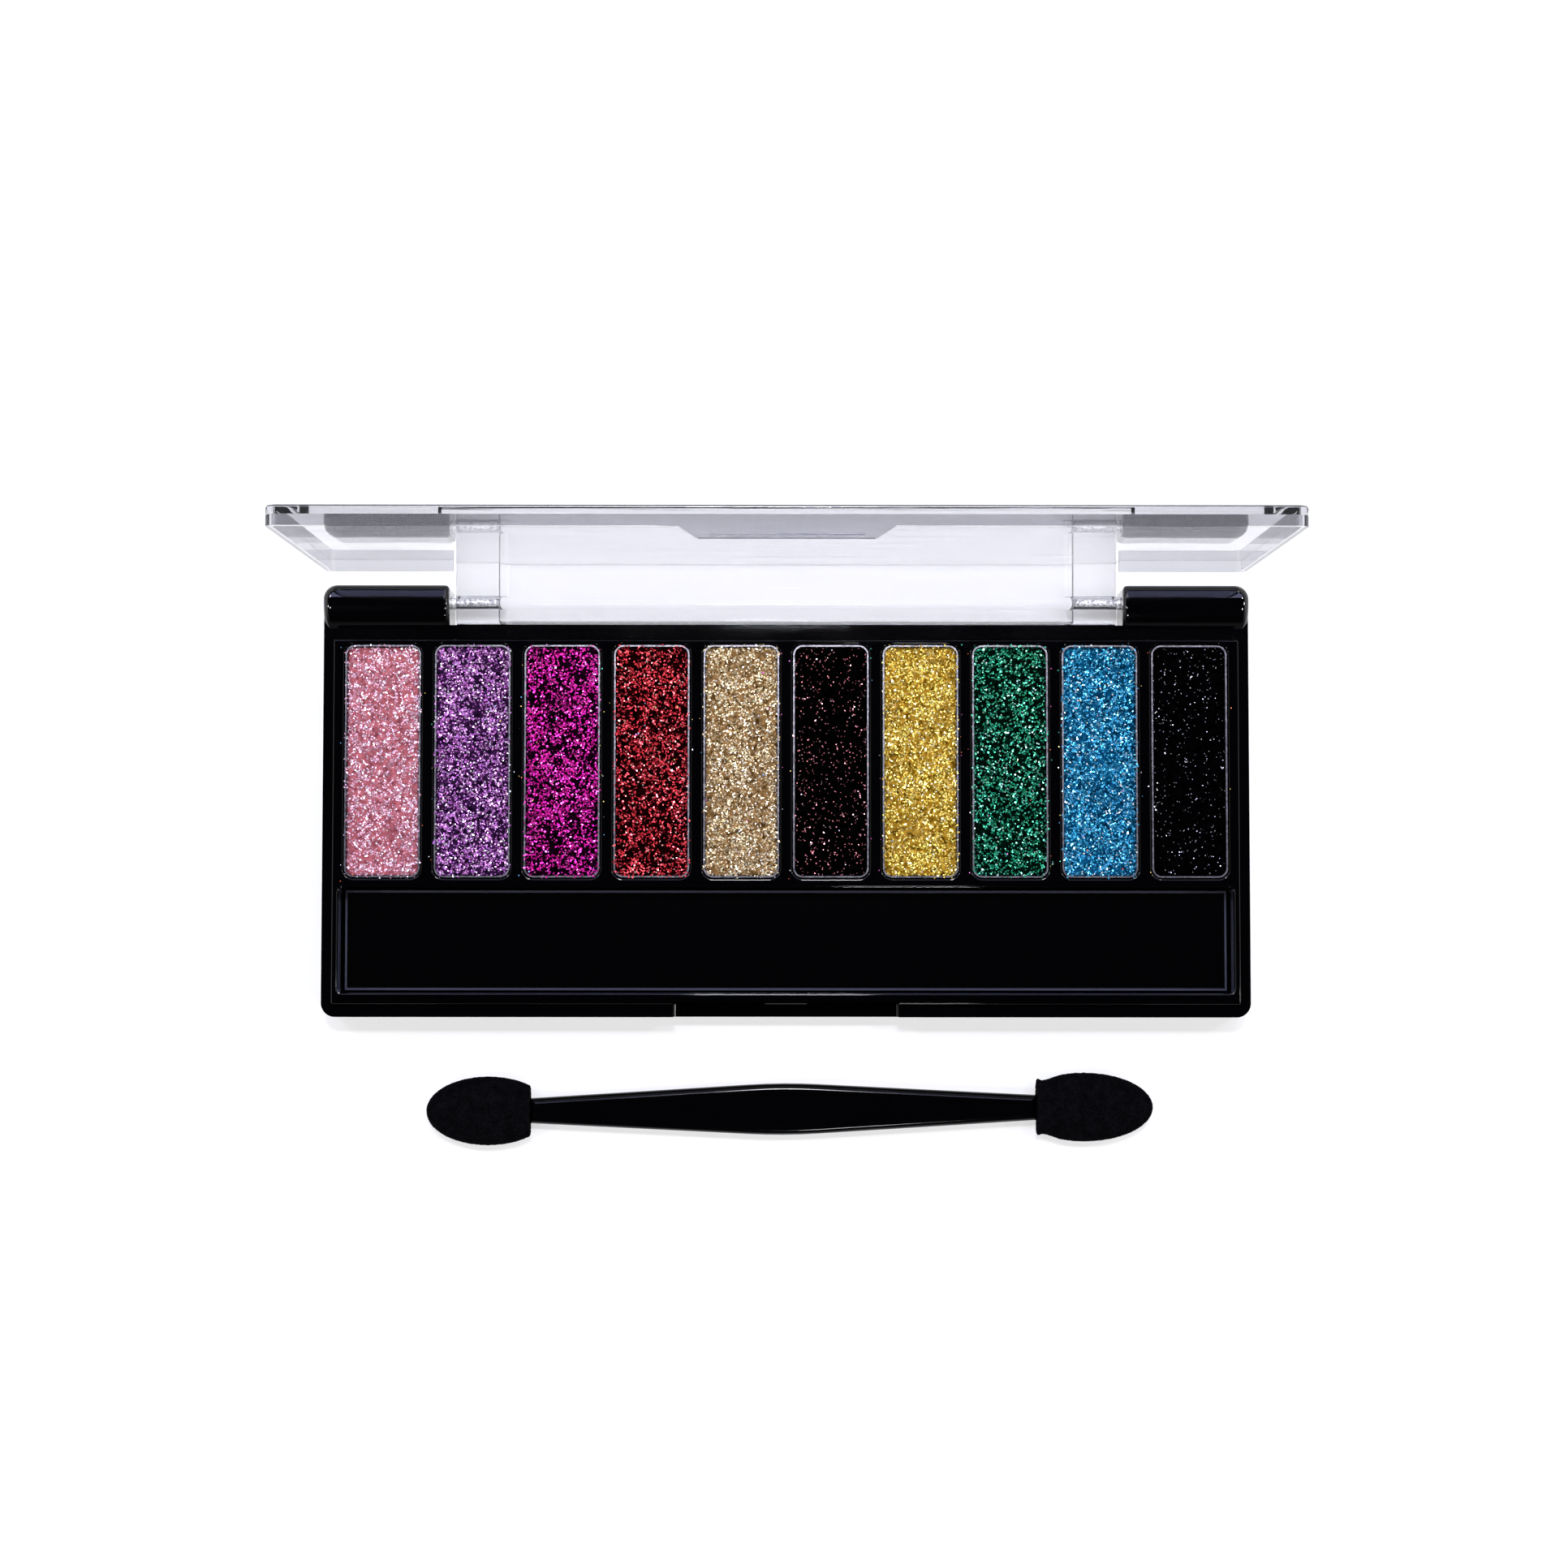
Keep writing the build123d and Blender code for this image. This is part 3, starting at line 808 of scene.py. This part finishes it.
class PALETTE_OT_silver_mirror(bpy.types.Operator):
    """Silvers the mirror strip on the trough's floor"""

    bl_idname = "palette.silver_mirror"
    bl_label = "Silver mirror"

    def execute(self, context):
        low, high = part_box("mirror_strip")
        dress("mirror_strip", silvered_glass("Float glass, silvered, ground edges", low, high))
        dress("mirror_tape", acrylic_tape("Acrylic foam tape, white"))
        return {"FINISHED"}


# ---- Applicator ----

def cut_foam_tip(name, low, high, cut_towards, flare, settings):
    """One foam tip: a pillow cut square at the handle, with a lumpy open-cell skin."""
    bpy.ops.object.select_all(action="DESELECT")
    size = Vector(high) - Vector(low)
    middle = (Vector(low) + Vector(high)) / 2
    # The pillow is an egg longer than the tip, and the cut takes its inner end off.
    cut_share = 0.68
    half_length = size.x / (1 + cut_share)
    centre_x = (low[0] + half_length) if cut_towards > 0 else (high[0] - half_length)
    bpy.ops.mesh.primitive_cube_add(size=2, location=(centre_x, middle.y, middle.z))
    tip = bpy.context.object
    tip.name = name
    tip.data.name = name
    bpy.ops.object.mode_set(mode="EDIT")
    bpy.ops.mesh.select_all(action="SELECT")
    bpy.ops.mesh.subdivide(number_cuts=15)
    bpy.ops.transform.tosphere(value=1.0)
    cage = bmesh.from_edit_mesh(tip.data)
    for vert in cage.verts:
        # A power below one fills the pillow out towards its rim.
        vert.co.normalize()
        flat = vert.co.z
        vert.co.z = math.copysign(abs(flat) ** 0.62, flat)
    bmesh.update_edit_mesh(tip.data)
    margin = 0.02 * MM
    half_size = Vector((half_length, size.y / 2, size.z / 2))
    bpy.ops.transform.resize(value=half_size - Vector((margin, margin, margin)))
    cut_x = high[0] if cut_towards > 0 else low[0]
    cage = bmesh.from_edit_mesh(tip.data)
    for vert in cage.verts:
        # The cut end flares out, with a slight waist next to it where the handle pinches the foam.
        inward = abs(vert.co.x + centre_x - cut_x) / half_length
        lip = math.exp(-(inward / 0.05) ** 2)
        waist = 0.35 * math.exp(-((inward - 0.16) / 0.12) ** 2)
        vert.co.y *= 1 + flare * (lip - waist)
    bmesh.update_edit_mesh(tip.data)
    bpy.ops.mesh.bisect(
        plane_co=(cut_x - cut_towards * margin, middle.y, middle.z), plane_no=(cut_towards, 0, 0),
        use_fill=True, clear_outer=True,
    )
    bpy.ops.object.mode_set(mode="OBJECT")
    apply_place(tip)
    apply_modifier(tip, "REMESH", mode="VOXEL", voxel_size=FOAM_VOXEL)
    cells = clouds(f"{name}_cells", settings.cell_size)
    apply_modifier(
        tip, "DISPLACE", texture=cells, texture_coords="LOCAL", strength=settings.roughness,
        mid_level=0.9,
    )
    select_only(tip)
    bpy.ops.object.shade_smooth()
    return tip


class PALETTE_OT_finish_applicator(bpy.types.Operator):
    """Polishes the handle and puts foam tips on it"""

    bl_idname = "palette.finish_applicator"
    bl_label = "Finish applicator"

    def execute(self, context):
        settings = context.scene.palette_foam
        gloss_black = black_polystyrene(
            "Polystyrene, black, moulded handle", polish=0.055, gloss=0.16
        )
        dress("applicator_handle", gloss_black)
        foam = open_cell_foam("Polyurethane foam, open cell, black", settings.cell_size)
        for side, cut_towards, flare in (("left", 1, 0.0), ("right", -1, 0.14)):
            sponge = f"sponge_tip_{side}"
            low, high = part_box(sponge)
            tip = cut_foam_tip(f"foam_tip_{side}", low, high, cut_towards, flare, settings)
            tip.data.materials.append(foam)
            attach(tip, "applicator")
            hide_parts(sponge)
        return {"FINISHED"}


# ---- Studio ----

def softbox(name, place, width, length, power, tint="#FFFFFF"):
    """A rectangular light that faces the middle of the table."""
    data = bpy.data.lights.new(name, "AREA")
    data.shape = "RECTANGLE"
    data.size = width
    data.size_y = length
    data.energy = power
    data.color = linear(tint)
    lamp = bpy.data.objects.new(name, data)
    bpy.context.scene.collection.objects.link(lamp)
    lamp.location = place
    lamp.rotation_euler = (-Vector(place)).to_track_quat("-Z", "Y").to_euler()


def white_tent(name, settings):
    """A world like a tent with an opening: white near the horizon, dark overhead and in front."""
    world = bpy.data.worlds.new(name)
    world.use_nodes = True
    tree = world.node_tree
    seen = node(tree, "ShaderNodeTexCoord").outputs["Generated"]
    lean = (math.radians(settings.tent_lean), 0, 0)
    up = node(tree, "ShaderNodeMapping", {"Vector": seen, "Rotation": lean}, vector_type="NORMAL")
    axes = node(tree, "ShaderNodeSeparateXYZ", {"Vector": up.outputs["Vector"]})
    # Each band starts this far from straight overhead.
    bands = (
        (math.radians(90), "#B6B8BE"),
        (math.radians(72), "#FFFFFF"),
        (math.radians(60), "#FFFFFF"),
        (math.radians(52), "#2E3038"),
        (math.radians(40), "#141519"),
        (settings.dark_cone, "#040405"),
    )
    glow = node(
        tree, "ShaderNodeValToRGB", {"Fac": axes.outputs["Z"]},
        stops=[(max(0.0, math.cos(angle)), rgba(colour)) for angle, colour in bands],
    )
    background = tree.nodes["Background"].inputs
    tree.links.new(glow.outputs["Color"], background["Color"])
    # The tent is open at the front, so what faces that way stays dark.
    light = node(
        tree, "ShaderNodeMapRange",
        {
            "Value": axes.outputs["Y"], "From Min": -0.6, "From Max": -0.1,
            "To Min": settings.tent_light * settings.front_share, "To Max": settings.tent_light,
        },
    )
    tree.links.new(light.outputs["Result"], background["Strength"])
    return world


class PALETTE_OT_light_studio(bpy.types.Operator):
    """Sets the table, the lights and the camera"""

    bl_idname = "palette.light_studio"
    bl_label = "Light studio"

    def execute(self, context):
        settings = context.scene.palette_studio
        scene = context.scene
        bpy.ops.object.select_all(action="DESELECT")
        # The table's top lies a hair below the case, so that the two faces don't fight.
        below = cad_box[0][2] - 0.02 * MM
        bpy.ops.mesh.primitive_plane_add(size=TABLE_WIDTH, location=(0, 0, below))
        table = context.object
        table.name = "table"
        table.data.materials.append(opal_acrylic("Opal acrylic, matt, lit from below"))
        softbox("light_bar", (0, 0.4, 1.0), 1.2, 0.36, settings.bar_power, "#C6CAFF")
        softbox("key_lamp", (0, 0.26, 0.97), 0.08, 0.06, settings.key_power)
        for number, (angle, lean) in enumerate(SPARK_LAMPS):
            out = math.sin(lean)
            place = Vector((out * math.cos(angle), out * math.sin(angle), math.cos(lean)))
            softbox(f"spark_lamp_{number}", place, 0.06, 0.06, settings.spark_power)
        scene.world = white_tent("White tent, dark opening above", settings)
        camera_data = bpy.data.cameras.new("camera")
        camera_data.lens = settings.lens
        camera_data.sensor_width = 36
        camera_data.clip_start = 0.01
        camera = bpy.data.objects.new("camera", camera_data)
        scene.collection.objects.link(camera)
        camera.location = (*CAMERA_PLACE, settings.camera_height)
        camera.rotation_euler = CAMERA_TURN
        scene.camera = camera
        scene.view_settings.view_transform = "Standard"
        return {"FINISHED"}


class PALETTE_PT_panel(bpy.types.Panel):
    """The palette's operators in the sidebar"""

    bl_label = "Glitter palette"
    bl_idname = "PALETTE_PT_panel"
    bl_space_type = "VIEW_3D"
    bl_region_type = "UI"
    bl_category = "Palette"

    def draw(self, context):
        for operator in OPERATORS:
            self.layout.operator(operator.bl_idname)
        for group, keys in (
            (context.scene.palette_glitter, ("flake_size", "flake_tilt", "press_depth")),
            (context.scene.palette_foam, ("cell_size", "roughness")),
            (
                context.scene.palette_studio,
                ("camera_height", "lens", "tent_light", "bar_power", "key_power", "spark_power"),
            ),
        ):
            for key in keys:
                self.layout.prop(group, key)


OPERATORS = (
    PALETTE_OT_light_studio,
    PALETTE_OT_finish_case,
    PALETTE_OT_finish_lid,
    PALETTE_OT_silver_mirror,
    PALETTE_OT_press_glitter,
    PALETTE_OT_scatter_strays,
    PALETTE_OT_finish_applicator,
)
GROUPS = (ShadeSettings, GlitterSettings, FoamSettings, StudioSettings)
POINTERS = (
    ("palette_glitter", GlitterSettings),
    ("palette_foam", FoamSettings),
    ("palette_studio", StudioSettings),
)


def register():
    """Registers the classes and hangs their settings on the scene."""
    for item in (*GROUPS, *OPERATORS, PALETTE_PT_panel):
        bpy.utils.register_class(item)
    for name, group in POINTERS:
        setattr(bpy.types.Scene, name, PointerProperty(type=group))


def unregister():
    """Takes the settings and the classes away again."""
    for name, _ in POINTERS:
        delattr(bpy.types.Scene, name)
    for item in reversed((*GROUPS, *OPERATORS, PALETTE_PT_panel)):
        bpy.utils.unregister_class(item)


def main():
    """Builds the visual model with the add-on's own operators."""
    register()
    for row in SHADES:
        shade = bpy.context.scene.palette_glitter.shades.add()
        for key, value in zip(SHADE_KEYS, row):
            setattr(shade, key, linear(value) if str(value).startswith("#") else value)
    bpy.ops.palette.light_studio()
    bpy.ops.palette.finish_case()
    bpy.ops.palette.finish_lid()
    bpy.ops.palette.silver_mirror()
    bpy.ops.palette.press_glitter()
    bpy.ops.palette.scatter_strays()
    bpy.ops.palette.finish_applicator()
    bpy.context.view_layer.update()


if __name__ == "__main__":
    main()
